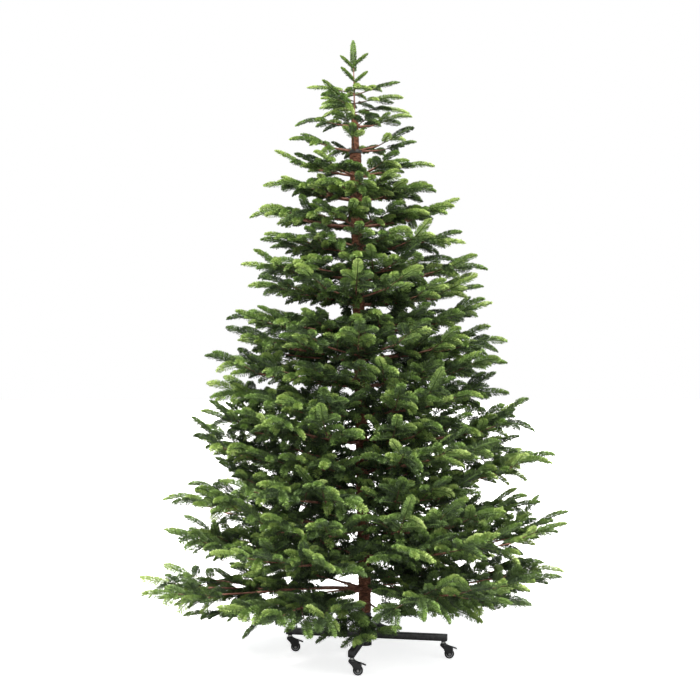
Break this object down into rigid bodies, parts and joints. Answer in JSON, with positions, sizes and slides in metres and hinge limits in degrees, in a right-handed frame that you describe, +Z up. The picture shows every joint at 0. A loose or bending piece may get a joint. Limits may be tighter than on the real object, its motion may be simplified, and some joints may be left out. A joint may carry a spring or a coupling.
{
  "type": "artificial christmas tree",
  "caption": "Undecorated artificial fir tree: a wrapped pole with whorls of boughs and needle sprays, on a black cross stand with braked castors.",
  "frame": {"origin": "on the floor, under the middle of the tree's bounding box", "axes": "+Z up; the front faces -Y and +X is to the right of someone who looks at it; the trunk leans about 1.2 degrees towards -X"},
  "size_m": [2.0836, 1.945, 3.05],
  "materials": {
    "wrapped_trunk": "matt brown wrap",
    "wrapped_bough": "matt brown wrap",
    "black_steel": "satin black paint",
    "needles": "satin moulded needles",
    "castor_housing": "black moulding",
    "castor_tread": "dark grey tread"
  },
  "bodies": {
    "tree": {"trunk": "wrapped_trunk", "stand_frame": "black_steel", "bough_01_1": "wrapped_bough", "bough_01_2": "wrapped_bough", "bough_01_3": "wrapped_bough", "bough_02_1": "wrapped_bough", "bough_02_2": "wrapped_bough", "bough_02_3": "wrapped_bough", "foliage_01_1": "needles", "foliage_01_2": "needles", "foliage_01_3": "needles", "foliage_02_1": "needles", "foliage_02_2": "needles", "foliage_02_3": "needles", "foliage_03_1": "needles", "foliage_03_2": "needles", "foliage_03_3": "needles", "foliage_04_1": "needles", "foliage_04_2": "needles", "foliage_04_3": "needles", "foliage_05_1": "needles", "foliage_05_2": "needles", "foliage_05_3": "needles", "foliage_06_1": "needles", "foliage_06_2": "needles", "foliage_06_3": "needles", "foliage_07_1": "needles", "foliage_07_2": "needles", "foliage_07_3": "needles", "foliage_08_1": "needles", "foliage_08_2": "needles", "foliage_09_1": "needles", "foliage_09_2": "needles", "foliage_10_1": "needles", "foliage_10_2": "needles", "foliage_11_1": "needles", "foliage_11_2": "needles", "foliage_12_1": "needles", "foliage_12_2": "needles", "foliage_13_1": "needles", "foliage_13_2": "needles", "foliage_14_1": "needles", "foliage_14_2": "needles", "foliage_15_1": "needles", "foliage_15_2": "needles", "foliage_16_1": "needles", "foliage_16_2": "needles", "foliage_17_1": "needles", "foliage_17_2": "needles", "foliage_18_1": "needles", "foliage_18_2": "needles", "leader": "needles"},
    "castor_1": {"castor_fork_1": "castor_housing"},
    "wheel_1": {"castor_wheel_1": "castor_tread"},
    "castor_2": {"castor_fork_2": "castor_housing"},
    "wheel_2": {"castor_wheel_2": "castor_tread"},
    "castor_3": {"castor_fork_3": "castor_housing"},
    "wheel_3": {"castor_wheel_3": "castor_tread"},
    "castor_4": {"castor_fork_4": "castor_housing"},
    "wheel_4": {"castor_wheel_4": "castor_tread"}
  },
  "joints": [
    {"name": "castor_1_swivel", "type": "hinge", "parent": "tree", "child": "castor_1", "pos_m": [0.42362, -0.04891, 0.08], "axis": [0, 0, 1], "continuous": true},
    {"name": "wheel_1_roll", "type": "hinge", "parent": "castor_1", "child": "wheel_1", "pos_m": [0.45162, -0.04891, 0.024], "axis": [0, 1, 0], "continuous": true},
    {"name": "castor_2_swivel", "type": "hinge", "parent": "tree", "child": "castor_2", "pos_m": [0.11443, 0.40097, 0.08], "axis": [0, 0, 1], "continuous": true},
    {"name": "wheel_2_roll", "type": "hinge", "parent": "castor_2", "child": "wheel_2", "pos_m": [0.14243, 0.40097, 0.024], "axis": [0, 1, 0], "continuous": true},
    {"name": "castor_3_swivel", "type": "hinge", "parent": "tree", "child": "castor_3", "pos_m": [-0.33545, 0.09177, 0.08], "axis": [0, 0, 1], "continuous": true},
    {"name": "wheel_3_roll", "type": "hinge", "parent": "castor_3", "child": "wheel_3", "pos_m": [-0.30745, 0.09177, 0.024], "axis": [0, 1, 0], "continuous": true},
    {"name": "castor_4_swivel", "type": "hinge", "parent": "tree", "child": "castor_4", "pos_m": [-0.02626, -0.35811, 0.08], "axis": [0, 0, 1], "continuous": true},
    {"name": "wheel_4_roll", "type": "hinge", "parent": "castor_4", "child": "wheel_4", "pos_m": [0.00174, -0.35811, 0.024], "axis": [0, 1, 0], "continuous": true}
  ]
}
